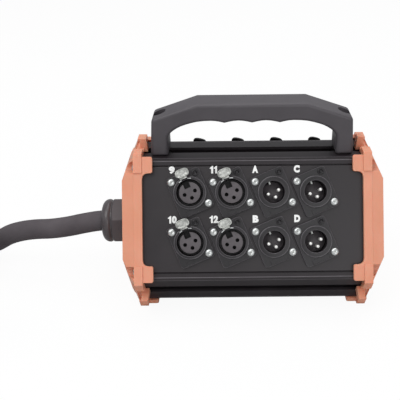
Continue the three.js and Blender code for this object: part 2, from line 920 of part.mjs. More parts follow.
const loomPieces = [solid(tube(trunkPath, loomDiameter, 8, 12))];
[frontFace, rearFace].forEach((face) => {
  face.updateWorldMatrix(true, false);
  const inSection = new THREE.Matrix4().copy(section.matrixWorld).invert();
  inSection.multiply(face.matrixWorld);
  columns.forEach((x) => {
    rows.forEach((y) => {
      const end = new THREE.Vector3(x, y, panelSurface - barrelDeep - seatGap);
      end.applyMatrix4(inSection);
      const start = new THREE.Vector3(end.x, 0, loomHeight);
      const normal = new THREE.Vector3(0, 0, 1).transformDirection(inSection);
      const bend = end.clone().addScaledVector(normal, -loomBranch);
      const wire = new THREE.CatmullRomCurve3([start, bend, end]);
      loomPieces.push(solid(tube(wire, loomBranch, 5, 2)));
    });
  });
});

// Cable: the free stretch leaves the gland, sags, bends to the floor and runs to the coil
const floorZ = cableDiameter / 2;
const straightEnd = cableDiameter;
const freeRoute = [
  [-94.5, 0, 49],
  [-106, 0, 49],
  [-118.5, 0, 48.9],
  [-132, 0, 46.8],
  [-146, 0, 43.8],
  [-160, 0, 41.9],
  [-172.9, 1.2, 40.7],
  [-185.7, 3.8, 37.5],
  [-198, 7.9, 31.7],
  [-209.7, 13.5, 22.9],
  [-221, 20, 15.6],
];

// The point of the coil's straight lead that lies a distance before the spiral's start
function leadPoint(before) {
  const [c, s] = [Math.cos(coilStart), Math.sin(coilStart)];
  return new THREE.Vector3(
    coilCentreX + coilOuterRadius * c + before * s,
    coilCentreY + coilOuterRadius * s - before * c,
    floorZ,
  );
}
const routeCurve = new THREE.CatmullRomCurve3(
  [
    ...freeRoute.map(([x, y, z]) => new THREE.Vector3(x, y, z)),
    leadPoint(straightEnd + cableDiameter).setZ(floorZ + seatGap),
    leadPoint(straightEnd + seatGap),
  ],
  false,
  "centripetal",
);

// The coil spirals in on the floor, out and in again on top of that, and climbs wherever the
// spiral turns back. Its last part rises over the turns, to the plug that lies on them.
const plugAxisZ = 2 * coilPitch + cableDiameter + plugRadius + plugLift;
class CoilPath extends THREE.Curve {
  constructor() {
    super();
    const [floorAngle, upperAngle] = [coilFloorTurns, coilUpperTurns].map((n) => 2 * Math.PI * n);
    this.turnBacks = [floorAngle, floorAngle + upperAngle, floorAngle + 2 * upperAngle];
    this.spiralAngle = this.turnBacks[2] + coilRise;
    this.leadSteps = 1;
    this.tailSteps = 1;
    this.turnSteps = Math.round((coilSteps * this.spiralAngle) / (2 * Math.PI));
    this.steps = this.leadSteps + this.turnSteps + this.tailSteps;
  }
  // How far the spiral has turned inwards on the whole, as an angle
  inward(angle) {
    const [inner, outer, last] = this.turnBacks;
    if (angle < inner) return angle;
    if (angle < outer) return 2 * inner - angle;
    if (angle < last) return 2 * (inner - outer) + angle;
    return 2 * (inner - outer + last) - angle;
  }
  getPoint(share, target = new THREE.Vector3()) {
    const step = share * this.steps - this.leadSteps;
    const clamped = Math.min(Math.max(step, 0), this.turnSteps);
    const angle = (clamped / this.turnSteps) * this.spiralAngle;
    const radius = coilOuterRadius - (coilPitch * this.inward(angle)) / (2 * Math.PI);
    const [inner, outer, last] = this.turnBacks;
    const layers = [inner, outer]
      .map((back) => THREE.MathUtils.clamp((angle - back) / Math.PI + sin30, 0, 1))
      .reduce((sum, climb) => sum + climb, floorZ / coilPitch);
    const rise = THREE.MathUtils.smoothstep(angle, last - Math.PI / 2, this.spiralAngle);
    const upperZ = floorZ + 2 * coilPitch;
    const turn = coilStart + angle;
    target.set(
      coilCentreX + radius * Math.cos(turn),
      coilCentreY + radius * Math.sin(turn),
      coilPitch * layers + (plugAxisZ - upperZ) * rise,
    );
    if (step < 0) target.copy(leadPoint((-step / this.leadSteps) * straightEnd));
    if (step > this.turnSteps) {
      target.x += ((step - this.turnSteps) / this.tailSteps) * coilTail;
    }
    return target;
  }
}
const coilPath = new CoilPath();

// Sweeps a level ring of points along the coil's own steps, so that each joint lies on a step
function coilGeometry(path) {
  const points = Array.from({ length: path.steps + 1 }, (_, i) => path.getPoint(i / path.steps));
  const position = [];
  points.forEach((point, i) => {
    const before = points[Math.max(i - 1, 0)];
    const after = points[Math.min(i + 1, path.steps)];
    const along = after.clone().sub(before).normalize();
    const side = new THREE.Vector3(along.y, -along.x, 0).normalize();
    const up = new THREE.Vector3().crossVectors(side, along);
    for (let k = 0; k < coilSides; k += 1) {
      const angle = (2 * Math.PI * k) / coilSides;
      const across = (cableDiameter / 2) * Math.cos(angle);
      const rise = (cableDiameter / 2) * Math.sin(angle);
      const corner = point.clone().addScaledVector(side, across).addScaledVector(up, rise);
      position.push(corner.x, corner.y, corner.z);
    }
  });
  const index = [];
  for (let i = 0; i < path.steps; i += 1) {
    for (let k = 0; k < coilSides; k += 1) {
      const next = (k + 1) % coilSides;
      const [a, b] = [i * coilSides + k, i * coilSides + next];
      const [c, d] = [a + coilSides, b + coilSides];
      index.push(a, c, d, a, d, b);
    }
  }
  const last = path.steps * coilSides;
  for (let k = 1; k < coilSides - 1; k += 1) {
    index.push(0, k, k + 1, last, last + k + 1, last + k);
  }
  const geometry = new THREE.BufferGeometry();
  geometry.setAttribute("position", new THREE.Float32BufferAttribute(position, 3));
  geometry.setIndex(index);
  return geometry;
}

function leastCoilGap(path) {
  const count = path.steps * 4;
  const points = Array.from({ length: count + 1 }, (_, i) => path.getPoint(i / count));
  const apart = coilSteps * 2;
  let least = Infinity;
  points.forEach((point, i) => {
    for (let j = i + apart; j <= count; j += 1) {
      least = Math.min(least, point.distanceTo(points[j]));
    }
  });
  return least - cableDiameter;
}
console.log("least gap between the coil's turns: " + leastCoilGap(coilPath).toFixed(2) + " mm");

const coilPoints = Array.from({ length: coilPath.steps + 1 }, (_, i) =>
  coilPath.getPoint(i / coilPath.steps),
);
const coilLength = coilPoints.slice(1).reduce((sum, p, i) => sum + p.distanceTo(coilPoints[i]), 0);
console.log("cable length: " + (routeCurve.getLength() + coilLength).toFixed(0) + " mm");

piece("cable_tube", solid(tube(routeCurve, cableDiameter, cableSides, 20)), blackRubber(), box);
piece("cable_coil", solid(coilGeometry(coilPath)), blackRubber(), box);
piece("wiring_loom", joined(...loomPieces), blackRubber(), section);

// Multipin plug: made along +X of a group at the cable's end, so that it lies on the coil
const plugGroup = new THREE.Group();
plugGroup.position.copy(coilPath.getPoint(1)).add(new THREE.Vector3(seatGap, 0, 0));
box.add(plugGroup);

const nutTo = plugNutLong;
const shellFrom = nutTo + seatGap;
const shellTo = shellFrom + plugShellLong;
const clampNut = turned(
  [
    [0, 0],
    [cableDiameter / 2 + glandMouthWall, 0],
    [plugNutDiameter / 2, plugNutLong / 2],
    [plugNutDiameter / 2, nutTo],
    [0, nutTo],
  ],
  16,
);
piece("plug_clamp_nut", towardX(clampNut), blackNylon(), plugGroup);

// The shell's grip lies on the coil, and its nose carries the insert and the coupling ring
const noseTo = shellTo + plugNoseLong;
const shellBody = turned(
  [
    [0, shellFrom],
    [plugNutDiameter / 2, shellFrom],
    [plugRadius, shellFrom + plugShellLong / 4],
    [plugRadius, shellTo],
    [plugNoseDiameter / 2, shellTo],
    [plugNoseDiameter / 2, noseTo],
    [plugNoseBore / 2, noseTo],
    [plugNoseBore / 2, shellTo],
    [0, shellTo],
  ],
  24,
);
piece("plug_shell", towardX(shellBody), blackAnodised(), plugGroup);

const insertDisc = rod(
  plugNoseBore - 2 * runGap,
  shellTo + seatGap,
  shellTo + seatGap + plugInsertThick,
  20,
);
piece("plug_insert", towardX(insertDisc), darkInsert(), plugGroup);

const ringFrom = shellTo + seatGap;
const ringTo = ringFrom + plugRingLong;
const ringInner = plugNoseDiameter / 2 + runGap;
const ringOuter = Math.min(ringInner + plugRingWall, plugRadius - plugRingShrink);
const ringBody = turned(
  [
    [ringInner, ringFrom],
    [ringOuter, ringFrom],
    [ringOuter, ringTo],
    [ringInner, ringTo],
  ],
  36,
);
const knurls = Array.from({ length: plugKnurls }, (_, k) => {
  const flute = alongX(
    rectangle(
      [-plugKnurlWide / 2, ringOuter - plugKnurlDeep],
      [plugKnurlWide / 2, ringOuter + overrun],
    ),
    ringFrom + plugKnurlWide / 2,
    ringTo - plugKnurlWide / 2,
  );
  return flute.rotate([(360 * k) / plugKnurls, 0, 0]);
});
piece("plug_coupling_ring", cutBy(towardX(ringBody), ...knurls), blackAnodised(), plugGroup);

export default box;
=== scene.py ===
"""Looks of the stage box snake: a three-sided box of black rails and plates between moulded orange
end caps, with a carry handle, panel connectors, a cable gland and a coiled multicore cable."""
import math

import bmesh
import bpy
from mathutils import Matrix, Vector


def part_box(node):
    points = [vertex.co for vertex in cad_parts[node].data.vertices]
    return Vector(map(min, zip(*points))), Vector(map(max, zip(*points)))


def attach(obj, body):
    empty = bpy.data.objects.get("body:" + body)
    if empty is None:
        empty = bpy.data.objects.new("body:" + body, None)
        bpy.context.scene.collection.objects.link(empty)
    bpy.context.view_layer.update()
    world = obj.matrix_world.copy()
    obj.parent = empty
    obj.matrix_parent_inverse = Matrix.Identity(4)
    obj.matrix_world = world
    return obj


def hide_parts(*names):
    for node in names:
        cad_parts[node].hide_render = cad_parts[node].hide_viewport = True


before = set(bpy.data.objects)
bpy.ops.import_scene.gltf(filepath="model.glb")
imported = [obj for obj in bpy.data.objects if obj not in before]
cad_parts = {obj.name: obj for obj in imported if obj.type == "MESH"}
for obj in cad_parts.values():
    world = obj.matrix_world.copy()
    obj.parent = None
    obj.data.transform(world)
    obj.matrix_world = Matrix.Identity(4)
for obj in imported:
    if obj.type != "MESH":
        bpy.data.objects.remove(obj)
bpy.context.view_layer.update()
mm = 0.001


# Camera: square to the labelled panel, which leans back 30 degrees. The picture is cropped off
# centre, so the lens is shifted. Sizes in pixels are those of the 400 pixel frame.
def add_object(name, data):
    """A new object with this data, in the scene."""
    added = bpy.data.objects.new(name, data)
    bpy.context.scene.collection.objects.link(added)
    return added


picture_px = 400
focal_px = 628
axis_px = (233.4, 219)
camera_pitch = math.radians(60)
camera_roll = math.radians(-0.6)
camera_distance = 455 * mm
camera_side = -14.1 * mm
section_height = 49 * mm
face_distance = 44.5 * mm
sensor_width = 36
camera_data = bpy.data.cameras.new("camera")
camera_data.sensor_width = sensor_width
camera_data.lens = focal_px / picture_px * sensor_width
camera_data.shift_x = (picture_px / 2 - axis_px[0]) / picture_px
camera_data.shift_y = (axis_px[1] - picture_px / 2) / picture_px
camera_data.clip_start = 10 * mm
camera = add_object("camera", camera_data)
away = face_distance + camera_distance
look_from = Vector(
    (camera_side, -away * math.sin(camera_pitch), section_height + away * math.cos(camera_pitch))
)
camera.matrix_world = (
    Matrix.Translation(look_from)
    @ Matrix.Rotation(camera_pitch, 4, "X")
    @ Matrix.Rotation(camera_roll, 4, "Z")
)
bpy.context.scene.camera = camera


# Cable: a round multicore in a smooth, matt rubber jacket with a faint bloom, 16.3 mm thick and
# about 3.7 m long. It sags from the gland to the floor and lies in a coil of three layers. It is
# drawn a little thinner, so that no bend dips below the floor.
def linear(hex_colour):
    """An sRGB hex colour as linear red, green, blue and alpha."""
    parts = [int(hex_colour[i : i + 2], 16) / 255 for i in (1, 3, 5)]
    return [p / 12.92 if p < 0.04045 else ((p + 0.055) / 1.055) ** 2.4 for p in parts] + [1]


def add_node(tree, kind, values=None, links=None, **settings):
    """A node with its settings, its sockets' values and its incoming links."""
    node = tree.nodes.new(kind)
    for name, value in settings.items():
        setattr(node, name, value)
    for socket, value in (values or {}).items():
        node.inputs[socket].default_value = value
    for socket, source in (links or {}).items():
        tree.links.new(source, node.inputs[socket])
    return node


tone_places = (0.3, 0.7)
grain_height = 0.1 * mm


def finish_material(
    name, low, high, roughness, grain_mm, bump, metallic=0.0, wear_mm=18, rough_spread=0.08, specular=0.5
):
    """A surface whose colour drifts between two tones, with fine grain in its bump."""
    material = bpy.data.materials.new(name)
    material.use_nodes = True
    tree = material.node_tree
    shader = tree.nodes["Principled BSDF"]
    where = add_node(tree, "ShaderNodeTexCoord").outputs["Object"]
    drift = add_node(
        tree, "ShaderNodeTexNoise", {"Scale": 1 / (wear_mm * mm), "Detail": 4.0}, {"Vector": where}
    )
    tone = add_node(tree, "ShaderNodeValToRGB", links={"Fac": drift.outputs["Fac"]})
    for stop, position, colour in zip(tone.color_ramp.elements, tone_places, (low, high)):
        stop.position = position
        stop.color = linear(colour)
    tree.links.new(tone.outputs["Color"], shader.inputs["Base Color"])
    grain = add_node(
        tree, "ShaderNodeTexNoise", {"Scale": 1 / (grain_mm * mm), "Detail": 2.0}, {"Vector": where}
    )
    spread = add_node(
        tree,
        "ShaderNodeMapRange",
        {"To Min": roughness - rough_spread, "To Max": roughness + rough_spread},
        {"Value": drift.outputs["Fac"]},
    )
    tree.links.new(spread.outputs["Result"], shader.inputs["Roughness"])
    relief = add_node(
        tree,
        "ShaderNodeBump",
        {"Strength": bump, "Distance": grain_height},
        {"Height": grain.outputs["Fac"]},
    )
    tree.links.new(relief.outputs["Normal"], shader.inputs["Normal"])
    shader.inputs["Metallic"].default_value = metallic
    shader.inputs["Specular IOR Level"].default_value = specular
    return material


cable_rubber = finish_material(
    "cable_rubber", "#524d50", "#5c575a", roughness=0.7, grain_mm=0.5, bump=0.15, specular=0.08
)
cable_diameter = 16.3 * mm
cable_floor = cable_diameter / 2
jacket_play = 0.1 * mm
lead_lift = 0.3 * mm
coil_pitch = 17 * mm
coil_radius = 106 * mm
coil_centre = Vector((-317, -47, 0)) * mm
coil_start = math.radians(60)
coil_turn_backs = [2 * math.pi * turns for turns in (3, 5, 7)]
coil_whole = coil_turn_backs[-1] + math.radians(210)
coil_tail = 8 * mm
coil_steps = 24
plug_axis = 75.8 * mm
free_route_mm = [
    (-106, 0, 49),
    (-118.5, 0, 48.9),
    (-132, 0, 46.8),
    (-146, 0, 43.8),
    (-160, 0, 41.9),
    (-172.9, 1.2, 40.7),
    (-185.7, 3.8, 37.5),
    (-198, 7.9, 31.7),
    (-209.7, 13.5, 22.9),
    (-221, 20, 15.6),
]


def lead_point(before, height):
    """A point on the coil's straight lead, a distance before the spiral starts."""
    c, s = math.cos(coil_start), math.sin(coil_start)
    return coil_centre + Vector((coil_radius * c + before * s, coil_radius * s - before * c, height))


def coil_point(angle):
    """The coil's centreline: in on the floor, out and in again on top, then up to the plug."""
    inner, outer, last = coil_turn_backs
    inward = angle
    for back, sign in ((inner, -1), (outer, 1), (last, -1)):
        if angle > back:
            inward = inward + 2 * sign * (angle - back)
    radius = coil_radius - coil_pitch * inward / (2 * math.pi)
    layers = sum(min(max((angle - back) / math.pi + 0.5, 0), 1) for back in (inner, outer))
    share = min(max((angle - last + math.pi / 2) / (coil_whole - last + math.pi / 2), 0), 1)
    rise = (plug_axis - cable_floor - 2 * coil_pitch) * share * share * (3 - 2 * share)
    turn = coil_start + angle
    flat = Vector((radius * math.cos(turn), radius * math.sin(turn), 0))
    return coil_centre + flat + Vector((0, 0, cable_floor + coil_pitch * layers + rise))


cable_line = [Vector(point) * mm for point in free_route_mm]
cable_line.append(lead_point(2 * cable_diameter, cable_floor + lead_lift))
cable_line.append(lead_point(cable_diameter, cable_floor))
coil_count = round(coil_steps * coil_whole / (2 * math.pi))
cable_line += [coil_point(coil_whole * i / coil_count) for i in range(coil_count + 1)]
cable_line.append(cable_line[-1] + Vector((coil_tail, 0, 0)))
cable_curve = bpy.data.curves.new("cable", "CURVE")
cable_curve.dimensions = "3D"
cable_curve.bevel_depth = cable_diameter / 2 - jacket_play
cable_curve.bevel_resolution = 6
cable_curve.resolution_u = 3
cable_curve.use_fill_caps = True
cable_spline = cable_curve.splines.new("BEZIER")
cable_spline.bezier_points.add(len(cable_line) - 1)
for bezier_point, point in zip(cable_spline.bezier_points, cable_line):
    bezier_point.co = point
    bezier_point.handle_left_type = "AUTO"
    bezier_point.handle_right_type = "AUTO"
cable = add_object("cable", cable_curve)
cable_curve.materials.append(cable_rubber)
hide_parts("cable_tube", "cable_coil")
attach(cable, "root")


# Rails: three corner extrusions of aluminium with a slot along the middle, satin black anodised.
# Their sharp edges are broken, so they catch the light.
def mesh_from(name, bm):
    """The bmesh's shape as a mesh. The bmesh is used up."""
    mesh = bpy.data.meshes.new(name)
    bm.to_mesh(mesh)
    bm.free()
    return mesh


def place(name, bm, materials, replaced=(), body="root"):
    """Makes the bmesh an object at the origin, hides the CAD parts it replaces and ties it to its body.
    """
    mesh = mesh_from(name, bm)
    for material in materials:
        mesh.materials.append(material)
    piece = add_object(name, mesh)
    if replaced:
        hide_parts(*replaced)
    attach(piece, body)
    return piece


def evaluated_mesh(piece):
    """The piece's shape with its modifiers applied, as a mesh."""
    bpy.context.view_layer.update()
    graph = bpy.context.evaluated_depsgraph_get()
    return bpy.data.meshes.new_from_object(piece.evaluated_get(graph))


bevel_angle = math.radians(30)
smooth_angle = math.radians(35)
flat_angle = math.radians(1)
small_face = 20 * mm * mm
neighbour_ratio = 5
merge_distance = 0.01 * mm


def finished_shape(piece):
    """Applies the piece's modifiers and smooths its rounded faces. Large flat faces stay flat."""
    shape = evaluated_mesh(piece)
    piece.modifiers.clear()
    piece.data = shape
    if "custom_normal" in shape.attributes:
        shape.attributes.remove(shape.attributes["custom_normal"])
    shape.set_sharp_from_angle(angle=smooth_angle)
    bm = bmesh.new()
    bm.from_mesh(shape)
    bm.normal_update()
    rounded = []
    for face in bm.faces:
        own = face.calc_area()
        curved = own < small_face
        for edge in face.edges:
            for other in edge.link_faces:
                bend = face.normal.angle(other.normal, 0)
                if other.calc_area() > own / neighbour_ratio and flat_angle < bend < smooth_angle:
                    curved = True
        rounded.append(curved)
    bm.free()
    shape.polygons.foreach_set("use_smooth", rounded)


def softened(node, ending, material, width, body="root", segments=2):
    """A copy of a CAD piece with its edges rounded, in place of the sharp one."""
    bm = bmesh.new()
    bm.from_mesh(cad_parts[node].data)
    for face in bm.faces:
        face.material_index = 0
    bmesh.ops.remove_doubles(bm, verts=bm.verts, dist=merge_distance)
    bmesh.ops.dissolve_limit(
        bm, angle_limit=flat_angle, verts=bm.verts, edges=bm.edges, delimit=set()
    )
    piece = place(node + ending, bm, [material], (node,), body)
    bevel = piece.modifiers.new("edge", "BEVEL")
    bevel.width = width
    bevel.segments = segments
    bevel.limit_method = "ANGLE"
    bevel.angle_limit = bevel_angle
    finished_shape(piece)


anodised_black = finish_material(
    "anodised_aluminium", "#231e21", "#2b2629", roughness=0.5, grain_mm=0.35, bump=0.1, specular=0.35
)
rail_edge = 0.35 * mm
for side in ("top", "front", "rear"):
    softened("rail_" + side, "_body", anodised_black, rail_edge)

# Plates: sheets of aluminium in a fine matt black coat, which slide between the rails. The coat
# is faintly mottled and its cut edges shine a little.
plate_coat = finish_material(
    "matt_black_coat", "#1b1519", "#241e21", roughness=0.42, grain_mm=0.3, bump=0.1, wear_mm=30
)
plate_edge = 0.2 * mm
for side in ("front", "rear", "bottom"):
    softened("panel_" + side, "_plate", plate_coat, plate_edge)

# End caps: glass-filled nylon mouldings in salmon orange with a fine satin texture. Every edge
# is rounded by the mould, and light goes a little way into the nylon.
orange_nylon = finish_material(
    "moulded_orange_nylon", "#db9374", "#e19b7f", roughness=0.5, grain_mm=0.4, bump=0.12, wear_mm=25
)
orange_shader = orange_nylon.node_tree.nodes["Principled BSDF"]
orange_shader.inputs["Subsurface Weight"].default_value = 0.35
orange_shader.inputs["Subsurface Radius"].default_value = (1.0, 0.35, 0.25)
orange_shader.inputs["Subsurface Scale"].default_value = 4 * mm
cap_edge = 0.8 * mm
for side in ("left", "right"):
    softened("end_cap_" + side, "_moulding", orange_nylon, cap_edge, segments=3)


# Cap screws: six pan-head screws of bright zinc-plated steel hold each cap to the rails' screw
# ports. Each sits in a notch and has a cross recess.
def move_new(bm, old, matrix, material_index):
    """Gives the faces that aren't among the old ones their material and moves them by a matrix."""
    faces = [face for face in bm.faces if face not in old]
    for face in faces:
        face.material_index = material_index
    points = list({vert for face in faces for vert in face.verts})
    bmesh.ops.transform(bm, matrix=matrix, verts=points)


pole_gap = 0.002 * mm


def turned(bm, profile, segments, matrix, material_index=0):
    """Spins a profile of (radius, height) points round Z, moved by a matrix."""
    verts = [bm.verts.new((radius, 0, height)) for radius, height in profile]
    edges = [bm.edges.new(pair) for pair in zip(verts, verts[1:])]
    old = set(bm.faces)
    bmesh.ops.spin(
        bm,
        geom=verts + edges,
        cent=(0, 0, 0),
        axis=(0, 0, 1),
        angle=2 * math.pi,
        steps=segments,
        use_merge=True,
    )
    points = list({vert for face in bm.faces if face not in old for vert in face.verts})
    bmesh.ops.remove_doubles(bm, verts=points, dist=pole_gap)
    faces = [face for face in bm.faces if face not in old]
    bmesh.ops.recalc_face_normals(bm, faces=faces)
    for face in faces:
        face.smooth = True
    move_new(bm, old, matrix, material_index)


def bevelled(bm, edges, width, segments):
    """Rounds edges of the bmesh by a width."""
    bmesh.ops.bevel(
        bm, geom=edges, offset=width, segments=segments, affect="EDGES", profile=0.5, material=-1
    )


def block(bm, size, matrix, edge=0.0, material_index=0):
    """A box of a size round its own centre, with rounded edges, moved by a matrix."""
    old = set(bm.faces)
    made = bmesh.ops.create_cube(bm, size=1, matrix=Matrix.Diagonal((*size, 1)))
    if edge:
        bevelled(bm, list({e for v in made["verts"] for e in v.link_edges}), edge, 2)
    move_new(bm, old, matrix, material_index)


zinc = finish_material(
    "bright_zinc_plate", "#c6c9c8", "#d6d8d6", roughness=0.3, grain_mm=0.6, bump=0.08,
    metallic=0.85, wear_mm=4,
)
# Zinc darkened as a painted shade, for the screws' cross recesses and the male cups' key rib.
painted_shade_zinc = finish_material(
    "shaded_recess", "#a0a29f", "#b2b4b0", roughness=0.5, grain_mm=0.5, bump=0.05,
    metallic=0.6, wear_mm=2,
)
# Near black as a painted shadow in the inserts' contact holes and key slot.
painted_hole_shadow = finish_material(
    "recess_shadow", "#0e0d0e", "#141314", roughness=0.7, grain_mm=0.5, bump=0.05
)
head_segments = 20


def cross_head(bm, diameter, height, matrix):
    """A pan head with a cross recess. Material 0 is the metal, 1 the recess in painted shade."""
    radius = diameter / 2
    shoulder = height * 0.78
    profile = [
        (radius, 0),
        (radius, height * 0.35),
        (radius * 0.86, shoulder),
        (radius * 0.5, height),
        (0, height),
    ]
    turned(bm, profile, head_segments, matrix)
    slot_size = (radius * 0.95, radius * 0.22, height * 0.5)
    for turn in (0, math.pi / 2):
        at = matrix @ Matrix.Translation((0, 0, shoulder)) @ Matrix.Rotation(turn, 4, "Z")
        block(bm, slot_size, at, material_index=1)


third_turn = 2 * math.pi / 3
cap_rim = 86 * mm
port_side = 13.44 * mm
port_out = 51.64 * mm
cap_screw = 6.6 * mm
cap_screw_high = 2.2 * mm
section = Matrix.Translation((0, 0, section_height))
for side, sign in (("left", -1), ("right", 1)):
    bm = bmesh.new()
    for corner in range(3):
        for port in (-1, 1):
            spot = (
                section
                @ Matrix.Rotation(corner * third_turn, 4, "X")
                @ Matrix.Translation((sign * cap_rim, port * port_side, port_out))
                @ Matrix.Rotation(sign * math.pi / 2, 4, "Y")
            )
            cross_head(bm, cap_screw, cap_screw_high, spot)
    place("cap_screws_" + side, bm, [zinc, painted_shade_zinc])

# Carry handle: a black nylon moulding, bolted down through its sloping ends. Its underside has
# four finger scallops and runs down to the legs in a long arch, given as shares of the reach
# from the last scallop to the leg and of the arch's drop. The skin has a fine grain.
handle_nylon = finish_material(
    "moulded_black_nylon", "#454145", "#4d494d", roughness=0.5, grain_mm=0.4, bump=0.2, wear_mm=22
)
handle_low, handle_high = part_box("handle")
handle_foot = handle_low.z
handle_top = handle_high.z
handle_half = handle_high.x
shoulder_half = handle_half * 0.969
shoulder_z = handle_foot + 28 * mm
top_half = 39.5 * mm
inner_half = 61 * mm
grip_pitch = 19.8 * mm
grip_depth = 1.6 * mm
grip_crest = handle_foot + 26.4 * mm
grip_last = 1.5 * grip_pitch
scallop_steps = 6
arch_drop = 10.6 * mm
arch_shares = [(1, 1.3), (0.985, 1.08), (0.95, 0.92), (0.91, 0.795), (0.858, 0.67), (0.78, 0.52)]
arch_shares += [(0.686, 0.377), (0.58, 0.265), (0.466, 0.167), (0.32, 0.066), (0.15, 0.012)]


def handle_outline():
    """The handle's side in X and Z: feet, shoulders, top, and the arched, scalloped underside."""
    right = [(handle_half, handle_foot), (shoulder_half, shoulder_z), (top_half, handle_top)]
    left = [(-x, z) for x, z in reversed(right)]
    arch = [(-inner_half, handle_foot)]
    reach = inner_half - grip_last
    for along, drop in arch_shares:
        arch.append((-grip_last - reach * along, grip_crest - arch_drop * drop))
    scallops = []
    for i in range(3 * scallop_steps + 1):
        share = i / scallop_steps
        dip = grip_depth * (1 - abs(math.cos(math.pi * share)))
        scallops.append((-grip_last + grip_pitch * share, grip_crest - dip))
    return right + left + arch + scallops + [(-x, z) for x, z in reversed(arch)]


def rod(radius, low, high):
    """The profile of a plain round rod between two heights."""
    return [(0, low), (radius, low), (radius, high), (0, high)]


def subtract(piece, cutter):
    """Gives the piece a modifier that cuts another object's shape out of it."""
    cut = piece.modifiers.new("cut", "BOOLEAN")
    cut.operation = "DIFFERENCE"
    cut.solver = "EXACT"
    cut.object = cutter


bm = bmesh.new()
outline = [bm.verts.new((x, handle_low.y, z)) for x, z in handle_outline()]
side_face = bm.faces.new(outline)
pushed = bmesh.ops.extrude_face_region(bm, geom=[side_face])
moved = [item for item in pushed["geom"] if isinstance(item, bmesh.types.BMVert)]
bmesh.ops.translate(bm, verts=moved, vec=(0, handle_high.y - handle_low.y, 0))
bmesh.ops.recalc_face_normals(bm, faces=bm.faces)
handle = place("carry_handle", bm, [handle_nylon], ("handle",))
rounding = handle.modifiers.new("edge", "BEVEL")
rounding.width = 2.2 * mm
rounding.segments = 4
rounding.limit_method = "ANGLE"
rounding.angle_limit = math.radians(50)
bore_play = 0.3 * mm
bore_past = 5 * mm
cutters = []
for bolt in ("handle_bolt_left", "handle_bolt_right"):
    bolt_low, bolt_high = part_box(bolt)
    middle = (bolt_low + bolt_high) / 2
    bore_radius = (bolt_high.x - bolt_low.x) / 2 + bore_play
    bore = rod(bore_radius, bolt_high.z - bore_past, handle_top + bore_past)
    bm = bmesh.new()
    turned(bm, bore, 32, Matrix.Translation((middle.x, middle.y, 0)))
    cutter = add_object("bolt_bore", mesh_from("bolt_bore", bm))
    subtract(handle, cutter)
    cutters.append(cutter)
finished_shape(handle)
for cutter in cutters:
    bpy.data.objects.remove(cutter)

# Handle bolts and slot nuts: cap screws of black zinc-plated steel deep in the handle's bores,
# each in a nut that slides in the top rail's slot.
black_zinc = finish_material(
    "black_zinc_plate", "#1d1c1d", "#262526", roughness=0.4, grain_mm=0.5, bump=0.08,
    metallic=0.6, wear_mm=5,
)
bolt_edge = 0.25 * mm
nut_edge = 0.2 * mm
for side in ("left", "right"):
    softened("handle_bolt_" + side, "_screw", black_zinc, bolt_edge)
    softened("handle_nut_" + side, "_block", black_zinc, nut_edge)

# Bead lines: a fine raised bead of 0.5 mm runs along each face of the rails. Its lighter grey is a
# painted highlight. Two lie beside each panel and two on each rail's outer face, beside its slot.
bead_highlight = finish_material(
    "painted_bead_highlight", "#5c575b", "#6a6569", roughness=0.4, grain_mm=0.5, bump=0.05, wear_mm=12
)
bead_size = Vector((168, 0.5, 0.4)) * mm
bead_sink = 0.12 * mm
bead_edge = 0.12 * mm
panel_bead_side = 42.2 * mm
slot_bead_side = 15 * mm
slot_face_distance = 59.9 * mm
bead_lines = [(degrees, face_distance, panel_bead_side) for degrees in (-60, 60, 180)]
bead_lines += [(degrees, slot_face_distance, slot_bead_side) for degrees in (-120, 0, 120)]
bm = bmesh.new()
for degrees, level, along in bead_lines:
    for side in (-1, 1):
        at = Matrix.Translation((0, side * along, level - bead_sink))
        turn = Matrix.Rotation(math.radians(degrees), 4, "X")
        block(bm, bead_size, section @ turn @ at, bead_edge)
place("rail_bead_lines", bm, [bead_highlight])

# Panel connectors: both panels carry them in two rows of four, all turned by the same angle.
# Figures name the female ones and letters the male ones.
column_pitch = 30.2 * mm
row_pitch = 36 * mm
array_shift = 1.2 * mm
panel_level = face_distance - 0.4 * mm
connector_tilt = math.radians(22.5)
front_frame = section @ Matrix.Rotation(math.pi / 3, 4, "X")
rear_frame = section @ Matrix.Rotation(math.pi, 4, "Z") @ Matrix.Rotation(math.pi / 3, 4, "X")


def array_place(column, row):
    """Where a connector's middle is on its panel."""
    return (column - 1.5) * column_pitch, (0.5 - row) * row_pitch + array_shift


front_names = [["9", "10"], ["11", "12"], ["a", "b"], ["c", "d"]]
rear_names = [["1", "2"], ["3", "4"], ["5", "6"], ["7", "8"]]
sockets = []
for face_frame, names in ((front_frame, front_names), (rear_frame, rear_names)):
    for column, pair in enumerate(names):
        for row, name in enumerate(pair):
            at = Matrix.Translation((*array_place(column, row), panel_level))
            sockets.append((name, face_frame @ at @ Matrix.Rotation(connector_tilt, 4, "Z")))
female_sockets = [(name, spot) for name, spot in sockets if name.isdigit()]
male_sockets = [(name, spot) for name, spot in sockets if name.isalpha()]

# Flange screws: two bright zinc cross-head screws hold each connector at opposite corners of its
# flange. A small dark lock screw sits at the third corner and the last has a bare label recess.
cast_black = finish_material(
    "black_coated_casting", "#191719", "#221f22", roughness=0.38, grain_mm=0.35, bump=0.12,
    metallic=0.1, wear_mm=8,
)
flange_top = 2.7 * mm
screw_corner = Vector((9.5, 12, 0)) * mm
screw_head = 5.7 * mm
screw_high = 1.9 * mm
screw_turns = ((-1, -5), (1, 45))
lock_shift = 0.4 * mm
lock_radius = 2.3 * mm
lock_low = 0.4 * mm
lock_rim = [
    (lock_radius, 0),
    (lock_radius, 0.8 * mm),
    (lock_radius - 0.5 * mm, 1.1 * mm),
    (lock_radius - 0.9 * mm, 0.8 * mm),
    (lock_radius - 1.0 * mm, lock_low),
    (0, lock_low),
]
lock_bar = Vector((1.7, 0.5, 0.4)) * mm
lock_bar_level = 0.5 * mm
recess_wide = 13 * mm
recess_high = 3.4 * mm
recess_x = -1.5 * mm
recess_y = -13.2 * mm
bar = 0.5 * mm
bar_edge = 0.1 * mm
